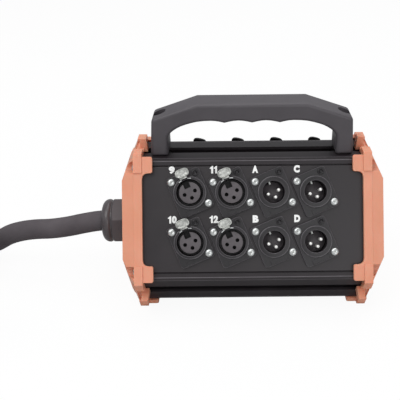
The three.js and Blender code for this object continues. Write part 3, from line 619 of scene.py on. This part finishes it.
for name, spot in sockets:
    bm = bmesh.new()
    for sign, degrees in screw_turns:
        corner = Vector((sign * screw_corner.x, -sign * screw_corner.y, flange_top))
        turn = Matrix.Rotation(math.radians(degrees), 4, "Z")
        cross_head(bm, screw_head, screw_high, spot @ Matrix.Translation(corner) @ turn)
    place("flange_screws_" + name, bm, [zinc, painted_shade_zinc])
    bm = bmesh.new()
    at = spot @ Matrix.Translation((screw_corner.x - lock_shift, screw_corner.y, flange_top))
    turned(bm, lock_rim, head_segments, at)
    block(bm, lock_bar, at @ Matrix.Translation((0, 0, lock_bar_level)))
    place("lock_screw_" + name, bm, [cast_black])
    bm = bmesh.new()
    for side in (-1, 1):
        level = recess_y + side * recess_high / 2
        at = spot @ Matrix.Translation((recess_x, level, flange_top))
        block(bm, (recess_wide, bar, bar), at, bar_edge)
        at = spot @ Matrix.Translation((recess_x + side * recess_wide / 2, recess_y, flange_top))
        block(bm, (bar, recess_high + bar, bar), at, bar_edge)
    place("label_recess_" + name, bm, [cast_black])

# Connector shells: die-cast D-size flanges in a black coat, with a raised ring round the bore and
# a barrel behind the panel. A female shell also has the push tab's housing. Faces that slope up
# are a lighter grey, which is a painted highlight on the edges.
casting_highlight = finish_material(
    "painted_casting_highlight", "#474347", "#5c585c", roughness=0.35, grain_mm=0.35, bump=0.05, wear_mm=2
)
flange_wide = 26 * mm
flange_high = 31 * mm
flange_low = 0.3 * mm
flange_round = 2.5 * mm
flange_edge = 0.35 * mm
ring_top = 4.2 * mm
ring_lip = 0.6 * mm
ring_chamfer = 0.15 * mm
bore_lip = 0.3 * mm
barrel_radius = 11.7 * mm
barrel_low = -21 * mm
barrel_sunk = 1.2 * mm
hole_span = (-1 * mm, 5 * mm)
housing_wide = 9 * mm
housing_deep = 3.4 * mm
housing_top = 5.6 * mm
housing_y = 13.6 * mm
housing_edge = 0.4 * mm
male_depth = 13.5 * mm
shell_segments = 64
highlight_slope_low, highlight_slope_high = 0.3, 0.95


def cut_mesh(name, bm, cutters):
    """The bmesh's shape less the cutters' shapes, as a mesh with two empty material slots."""
    shapes = []
    for shape in [bm, *cutters]:
        bmesh.ops.recalc_face_normals(shape, faces=shape.faces)
        mesh = mesh_from(name, shape)
        mesh.materials.append(None)
        mesh.materials.append(None)
        shapes.append(add_object(name, mesh))
    for cutter in shapes[1:]:
        subtract(shapes[0], cutter)
    result = evaluated_mesh(shapes[0])
    for part in shapes:
        bpy.data.objects.remove(part)
    return result


def shell_mesh(name, ring_radius, bore_radius, bore_depth, housed):
    """A connector's flange with its raised ring, bore and barrel, and the push tab's housing."""
    plate = bmesh.new()
    size = (flange_wide, flange_high, flange_top - flange_low)
    block(plate, size, Matrix.Translation((0, 0, (flange_top + flange_low) / 2)))
    upright = [e for e in plate.edges if abs(e.verts[0].co.z - e.verts[1].co.z) > flange_edge]
    bevelled(plate, upright, flange_round, 6)
    rim = [e for e in plate.edges if min(v.co.z for v in e.verts) > flange_top - flange_edge]
    bevelled(plate, rim, flange_edge, 1)
    hole = bmesh.new()
    turned(hole, rod(ring_radius - ring_lip, *hole_span), shell_segments, Matrix())
    bm = bmesh.new()
    bm.from_mesh(cut_mesh(name, plate, [hole]))
    floor_level = ring_top - bore_depth
    profile = [
        (0, floor_level),
        (bore_radius, floor_level),
        (bore_radius, ring_top - bore_lip),
        (bore_radius + bore_lip, ring_top),
        (ring_radius - ring_lip, ring_top),
        (ring_radius - ring_chamfer, ring_top - ring_chamfer),
        (ring_radius, ring_top - ring_lip),
        (ring_radius, flange_top - 1 * mm),
        (barrel_radius, flange_top - barrel_sunk),
        (barrel_radius, barrel_low),
        (0, barrel_low),
    ]
    turned(bm, profile, shell_segments, Matrix())
    if housed:
        size = (housing_wide, housing_deep, housing_top - flange_low)
        at = Matrix.Translation((0, housing_y, (housing_top + flange_low) / 2))
        block(bm, size, at, housing_edge)
    bmesh.ops.recalc_face_normals(bm, faces=bm.faces)
    for face in bm.faces:
        # Upward-sloping faces take the lighter grey of the painted highlight.
        if highlight_slope_low < face.normal.z < highlight_slope_high and face.calc_center_median().z > flange_low:
            face.material_index = 1
    return mesh_from(name, bm)


def smooth_all(piece, angle):
    """Smooths all faces of a piece and keeps the edges that are sharper than an angle."""
    for polygon in piece.data.polygons:
        polygon.use_smooth = True
    piece.data.set_sharp_from_angle(angle=angle)


def sited(name, source, spot, materials, replaced=(), body="root"):
    """A copy of a mesh at a connector, as a finished piece."""
    bm = bmesh.new()
    bm.from_mesh(source)
    bmesh.ops.transform(bm, matrix=spot, verts=bm.verts)
    piece = place(name, bm, materials, replaced, body)
    smooth_all(piece, math.radians(30))


shell_coats = [cast_black, casting_highlight]
female_shape = shell_mesh(
    "female_shape", ring_radius=12 * mm, bore_radius=9.8 * mm, bore_depth=13 * mm, housed=True
)
male_shape = shell_mesh(
    "male_shape", ring_radius=11.5 * mm, bore_radius=8.1 * mm, bore_depth=male_depth, housed=False
)
for name, spot in sockets:
    gender, shape = ("female", female_shape) if name.isdigit() else ("male", male_shape)
    piece_name = "%s_%s_flange_shell" % (gender, name)
    node = "%s_shell_%s" % (gender, name)
    sited(piece_name, shape, spot, shell_coats, (node,))

# Female inserts: a black glass-filled nylon core with three deep contact holes and a key slot
# cut in from its rim at the tab's side. Its edge has a small round. The holes and the slot are
# painted near black, a painted shadow.
insert_nylon = finish_material(
    "glass_filled_insert", "#4c474a", "#5a5457", roughness=0.5, grain_mm=0.3, bump=0.1, wear_mm=6
)
contact_places = [(4.05 * mm, 0), (-4.05 * mm, 0), (0, -4 * mm)]
contact_radius = 1.4 * mm
contact_deep = 5 * mm
insert_radius = 7.8 * mm
insert_low = -8.5 * mm
insert_top = ring_top - 0.7 * mm
insert_round = 0.5 * mm
insert_chamfer = 0.15 * mm
key_slot_size = Vector((4.6, 5.4, 5)) * mm
key_slot_y = 6.3 * mm
key_slot_sunk = 1.5 * mm
core = bmesh.new()
core_profile = [
    (0, insert_low),
    (insert_radius, insert_low),
    (insert_radius, insert_top - insert_round),
    (insert_radius - insert_chamfer, insert_top - insert_chamfer),
    (insert_radius - insert_round, insert_top),
    (0, insert_top),
]
turned(core, core_profile, shell_segments, Matrix())
drills = []
for x, y in contact_places:
    drill = bmesh.new()
    reach = rod(contact_radius, insert_top - contact_deep, insert_top + 1 * mm)
    turned(drill, reach, 24, Matrix.Translation((x, y, 0)), 1)
    drills.append(drill)
key_cut = bmesh.new()
key_at = Matrix.Translation((0, key_slot_y, insert_top - key_slot_sunk))
block(key_cut, key_slot_size, key_at, material_index=1)
drills.append(key_cut)
insert_shape = cut_mesh("insert_shape", core, drills)
for name, spot in female_sockets:
    node = "female_insert_" + name
    replaced = (node,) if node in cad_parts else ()
    piece_name = "female_%s_core" % name
    sited(piece_name, insert_shape, spot, [insert_nylon, painted_hole_shadow], replaced)

# Push tabs: pressed steel latch levers in bright zinc. On the rear panel they are black zinc, a
# painted shade. The oval thumb plate is dished inside a raised rim, on a flat stem with a narrow
# shelf on the ring's side. Each level of the plate is a share of its width and a height in millimetres.
worn_zinc = finish_material(
    "worn_zinc_plate", "#91938f", "#cdcec9", roughness=0.36, grain_mm=0.7, bump=0.35,
    metallic=0.75, wear_mm=1.6,
)
tab_x = 0.5 * mm
tab_y = 14.8 * mm
tab_wide = 10.2 * mm
tab_high = 6.3 * mm
tab_points = 48
oval_power = 0.78
tab_levels = [(0.92, 7.5), (1.0, 7.8), (1.0, 8.6), (0.965, 8.92), (0.92, 9.0), (0.85, 8.98)]
tab_levels += [(0.79, 8.75), (0.72, 8.55), (0.4, 8.42), (0.1, 8.4)]
stem_size = Vector((5.2, 1.5, 10.4)) * mm
stem_at = Vector((0, 13, 2.4)) * mm
shelf_size = Vector((5.4, 2.2, 0.5)) * mm
shelf_at = Vector((0, 11.7, 6.6)) * mm


def lofted(bm, rings):
    """Bridges closed rings of points, each a list of (x, y, z), and fills the first and last."""
    loops = []
    for ring in rings:
        verts = [bm.verts.new(point) for point in ring]
        loops.append([bm.edges.new(pair) for pair in zip(verts, verts[1:] + verts[:1])])
    for low, high in zip(loops, loops[1:]):
        bmesh.ops.bridge_loops(bm, edges=low + high)
    for end in (loops[0], loops[-1]):
        bmesh.ops.edgeloop_fill(bm, edges=end)


tab = bmesh.new()
tab_rings = []
for size, level in tab_levels:
    ring = []
    for i in range(tab_points):
        c, s = math.cos(2 * math.pi * i / tab_points), math.sin(2 * math.pi * i / tab_points)
        x = tab_x + size * tab_wide / 2 * math.copysign(abs(c) ** oval_power, c)
        y = tab_y + size * tab_high / 2 * math.copysign(abs(s) ** oval_power, s)
        ring.append((x, y, level * mm))
    tab_rings.append(ring)
lofted(tab, tab_rings)
block(tab, stem_size, Matrix.Translation(stem_at), 0.2 * mm)
block(tab, shelf_size, Matrix.Translation(shelf_at), 0.15 * mm)
bmesh.ops.recalc_face_normals(tab, faces=tab.faces)
tab_shape = mesh_from("tab_shape", tab)
shaded_rear_channels = [name for pair in rear_names for name in pair]
for name, spot in female_sockets:
    # The rear panel's tabs are darkened with black zinc as a painted shade.
    tab_look = black_zinc if name in shaded_rear_channels else worn_zinc
    node = "push_tab_" + name
    sited("push_%s_tab" % name, tab_shape, spot, [tab_look], (node,), node)

# Latch springs: a thin bright strip lies on each female ring on both sides of the tab's shelf.
# Its two ends are given in degrees round the ring.
spring_arcs = ((114, 100), (76, 62))
spring_steps = 6
spring_inner = 10.15 * mm
spring_outer = 10.75 * mm
spring_low = ring_top - 0.05 * mm
spring_high = ring_top + 0.2 * mm
spring = bmesh.new()
for first, last in spring_arcs:
    rings = []
    for i in range(spring_steps + 1):
        angle = math.radians(first + (last - first) * i / spring_steps)
        c, s = math.cos(angle), math.sin(angle)
        rings.append(
            [
                (spring_inner * c, spring_inner * s, spring_low),
                (spring_outer * c, spring_outer * s, spring_low),
                (spring_outer * c, spring_outer * s, spring_high),
                (spring_inner * c, spring_inner * s, spring_high),
            ]
        )
    lofted(spring, rings)
bmesh.ops.recalc_face_normals(spring, faces=spring.faces)
spring_shape = mesh_from("spring_shape", spring)
for name, spot in female_sockets:
    sited("latch_spring_" + name, spring_shape, spot, [zinc])

# Male inserts: a black nylon disc at the bottom of the cup with three silver pins, whose ends are
# rounded, and a key rib up the cup's wall in zinc darkened as a painted shade. Material 1 is the
# pins' and 2 the rib's.
pin_metal = finish_material(
    "silver_contact", "#ebeae6", "#f4f3f0", roughness=0.45, grain_mm=0.5, bump=0.03,
    metallic=0.5, wear_mm=3,
)
disc_low = ring_top - male_depth + 0.3 * mm
disc_top = disc_low + 2 * mm
disc_chamfer = 0.3 * mm
disc = [
    (0, disc_low),
    (insert_radius, disc_low),
    (insert_radius, disc_top - disc_chamfer),
    (insert_radius - disc_chamfer, disc_top),
    (0, disc_top),
]
pin_radius = 1.2 * mm
pin_sunk = 0.5 * mm
pin_tip = disc_top + 9.5 * mm
pin = [
    (pin_radius, disc_top - pin_sunk),
    (pin_radius, pin_tip - 0.5 * mm),
    (1.0 * mm, pin_tip - 0.25 * mm),
    (0.6 * mm, pin_tip - 0.05 * mm),
    (0, pin_tip),
]
rib_size = Vector((1.3, 2.2, 9)) * mm
rib_at = (-0.2 * mm, 7.1 * mm, ring_top - 6 * mm)
rib_edge = 0.2 * mm
for name, spot in male_sockets:
    bm = bmesh.new()
    turned(bm, disc, 32, spot)
    for x, y in contact_places:
        turned(bm, pin, 16, spot @ Matrix.Translation((x, y, 0)), 1)
    block(bm, rib_size, spot @ Matrix.Translation(rib_at), rib_edge, 2)
    materials = [insert_nylon, pin_metal, painted_shade_zinc]
    piece_name = "male_%s_insert" % name
    place(piece_name, bm, materials, ("male_insert_" + name,))

# Channel labels: heavy condensed figures and letters printed in white on both plates. The figure
# one is drawn as an outline of its own, and all others are typed and fitted to their width.
label_white = finish_material(
    "white_print", "#f4f4f2", "#fbfbf9", roughness=0.6, grain_mm=0.5, bump=0.0, wear_mm=10
)
label_high = 5.4 * mm
label_gap = 0.45 * mm
label_at = Vector((-13.1, 16.7)) * mm
label_lift = 0.06 * mm
label_type = 6.8 * mm
label_weight = 0.5 * mm
single_wide = 4.3 * mm
single_one_wide = 2.6 * mm
pair_wide = 3.5 * mm
pair_one_wide = 2.4 * mm
figure_one = [(0.42, 0), (1, 0), (1, 1), (0.6, 1), (0.45, 0.86), (0, 0.77), (0, 0.6), (0.42, 0.66)]


def label_mesh(character, wide):
    """A figure or letter fitted to a box from the origin, as wide as asked."""
    if character == "1":
        shape = bmesh.new()
        shape.faces.new([shape.verts.new((x, y, 0)) for x, y in figure_one])
        bmesh.ops.triangulate(shape, faces=shape.faces)
        mesh = mesh_from("figure", shape)
    else:
        curve = bpy.data.curves.new("figure", "FONT")
        curve.body = character
        curve.size = label_type
        curve.offset = label_weight
        curve.resolution_u = 4
        typed = add_object("figure", curve)
        mesh = evaluated_mesh(typed)
        bpy.data.objects.remove(typed)
    across = [vertex.co.x for vertex in mesh.vertices]
    along = [vertex.co.y for vertex in mesh.vertices]
    size = (wide / (max(across) - min(across)), label_high / (max(along) - min(along)), 1, 1)
    mesh.transform(Matrix.Diagonal(size) @ Matrix.Translation((-min(across), -min(along), 0)))
    return mesh


def print_label(side, text, face_frame, column, row):
    """A flat white label beside a connector, up and to the left of it."""
    if len(text) == 1:
        wides = [single_one_wide if text == "1" else single_wide]
    else:
        wides = [pair_one_wide if character == "1" else pair_wide for character in text]
    x, y = array_place(column, row)
    x += label_at.x - (sum(wides) + label_gap * (len(text) - 1)) / 2
    y += label_at.y - label_high / 2
    bm = bmesh.new()
    for character, wide in zip(text, wides):
        mesh = label_mesh(character, wide)
        mesh.transform(face_frame @ Matrix.Translation((x, y, panel_level + label_lift)))
        bm.from_mesh(mesh)
        x += wide + label_gap
    place("label_%s_%s" % (side, text), bm, [label_white])


for column in range(4):
    for row in range(2):
        print_label("front", front_names[column][row].upper(), front_frame, column, row)
        print_label("rear", rear_names[column][row], rear_frame, column, row)

# Cable gland: a black nylon body and locknut clamp the left cap's wall, and a glossy dome nut
# presses the rubber seal on the cable. Behind it a rubber loom stands for the wires.
gland_nylon = finish_material(
    "moulded_gland_nylon", "#4b4648", "#565153", roughness=0.5, grain_mm=0.4, bump=0.12, specular=0.3
)
gland_edge = 0.5 * mm
for node in ("gland_body", "gland_locknut"):
    softened(node, "_moulding", gland_nylon, gland_edge)
dome_nylon = finish_material(
    "glossy_gland_nylon", "#454042", "#4f4a4c", roughness=0.3, grain_mm=0.4, bump=0.06, rough_spread=0.05
)
dome_low, dome_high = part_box("gland_dome_nut")
dome_radius = (dome_high.y - dome_low.y) / 2
dome_foot, dome_tip = -dome_high.x, -dome_low.x
dome_round = 5.2 * mm
dome_steps = 8
dome_neck = dome_radius - 1.2 * mm
dome_hole = cable_diameter / 2 + 0.3 * mm
dome = [
    (dome_hole, dome_foot),
    (dome_neck, dome_foot),
    (dome_neck, dome_foot + 0.6 * mm),
    (dome_radius - 0.3 * mm, dome_foot + 1.6 * mm),
]
for step in range(dome_steps + 1):
    angle = step / dome_steps * math.pi / 2
    out = dome_radius - dome_round + dome_round * math.cos(angle)
    dome.append((out, dome_tip - dome_round + dome_round * math.sin(angle)))
dome += [(dome_hole + 0.6 * mm, dome_tip - 0.5 * mm), (dome_hole, dome_tip - 2 * mm), dome[0]]
bm = bmesh.new()
turned(bm, dome, 48, section @ Matrix.Rotation(-math.pi / 2, 4, "Y"))
dome_nut = place(
    "gland_dome_nut_moulding", bm, [dome_nylon], ("gland_dome_nut",)
)
smooth_all(dome_nut, math.radians(40))
rubber_edge = 0.1 * mm
for node in ("gland_seal", "wiring_loom"):
    softened(node, "_piece", cable_rubber, rubber_edge)

# Multipin plug: a turned and black anodised shell with a fluted coupling ring that turns, a
# clamp nut on the cable and a nylon insert.
plug_edge = 0.4 * mm
plug_insert_edge = 0.2 * mm
softened("plug_clamp_nut", "_piece", gland_nylon, gland_edge)
softened("plug_shell", "_piece", anodised_black, plug_edge)
softened("plug_coupling_ring", "_piece", anodised_black, plug_edge, body="plug_coupling_ring")
softened("plug_insert", "_piece", insert_nylon, plug_insert_edge)

# Studio: a white floor that keeps a faint shadow, a pale world and three soft lamps. To the camera
# the floor is almost white and the world is white, and what they throw back on the piece is less.
# Inputs 0, 6 and 7 of a colour mix are its share and its two colours.
floor_material = bpy.data.materials.new("white_floor")
floor_material.use_nodes = True
floor_tree = floor_material.node_tree
floor_tree.nodes.clear()
floor_path = add_node(floor_tree, "ShaderNodeLightPath")
seen = floor_path.outputs["Is Camera Ray"]
glow_share = add_node(floor_tree, "ShaderNodeMath", {1: 0.93}, {0: seen}, operation="MULTIPLY")
tone = add_node(
    floor_tree,
    "ShaderNodeMix",
    {6: linear("#c0c0c0"), 7: linear("#f4f4f4")},
    {0: seen},
    data_type="RGBA",
)
paint = add_node(floor_tree, "ShaderNodeBsdfDiffuse", links={"Color": tone.outputs[2]})
glow = add_node(floor_tree, "ShaderNodeEmission", {"Color": linear("#ffffff"), "Strength": 1.0})
floor_mix = add_node(
    floor_tree,
    "ShaderNodeMixShader",
    links={0: glow_share.outputs[0], 1: paint.outputs[0], 2: glow.outputs[0]},
)
add_node(floor_tree, "ShaderNodeOutputMaterial", links={"Surface": floor_mix.outputs[0]})
floor_half = 12
floor_height = -0.2 * mm
bm = bmesh.new()
bmesh.ops.create_grid(bm, x_segments=1, y_segments=1, size=floor_half)
bmesh.ops.translate(bm, verts=bm.verts, vec=(0, 0, floor_height))
floor_mesh = mesh_from("floor", bm)
floor_mesh.materials.append(floor_material)
floor = add_object("floor", floor_mesh)

world = bpy.data.worlds.new("studio")
bpy.context.scene.world = world
world.use_nodes = True
world_tree = world.node_tree
world_tree.nodes.clear()
world_path = add_node(world_tree, "ShaderNodeLightPath")
soft_light = add_node(
    world_tree, "ShaderNodeBackground", {"Color": linear("#f6f8fb"), "Strength": 0.52}
)
white_back = add_node(
    world_tree, "ShaderNodeBackground", {"Color": linear("#ffffff"), "Strength": 1.0}
)
world_mix = add_node(
    world_tree,
    "ShaderNodeMixShader",
    links={
        0: world_path.outputs["Is Camera Ray"],
        1: soft_light.outputs[0],
        2: white_back.outputs[0],
    },
)
add_node(world_tree, "ShaderNodeOutputWorld", links={"Surface": world_mix.outputs[0]})
lamp_aim = Vector((0, 0, 60)) * mm


def soft_lamp(name, spot, size, power):
    """A square area lamp that looks at the box's middle."""
    data = bpy.data.lights.new(name, "AREA")
    data.shape = "SQUARE"
    data.size = size
    data.energy = power
    lamp = add_object(name, data)
    lamp.location = spot
    lamp.rotation_euler = (lamp_aim - Vector(spot)).to_track_quat("-Z", "Y").to_euler()


soft_lamp("key_lamp", (-0.6, -0.6, 1.3), size=1.0, power=9.5)
soft_lamp("top_lamp", (0.2, 0.4, 1.4), size=1.2, power=8)
soft_lamp("fill_lamp", (0.5, -1.3, 0.5), size=1.0, power=4.5)

bpy.context.scene.view_settings.view_transform = "Standard"
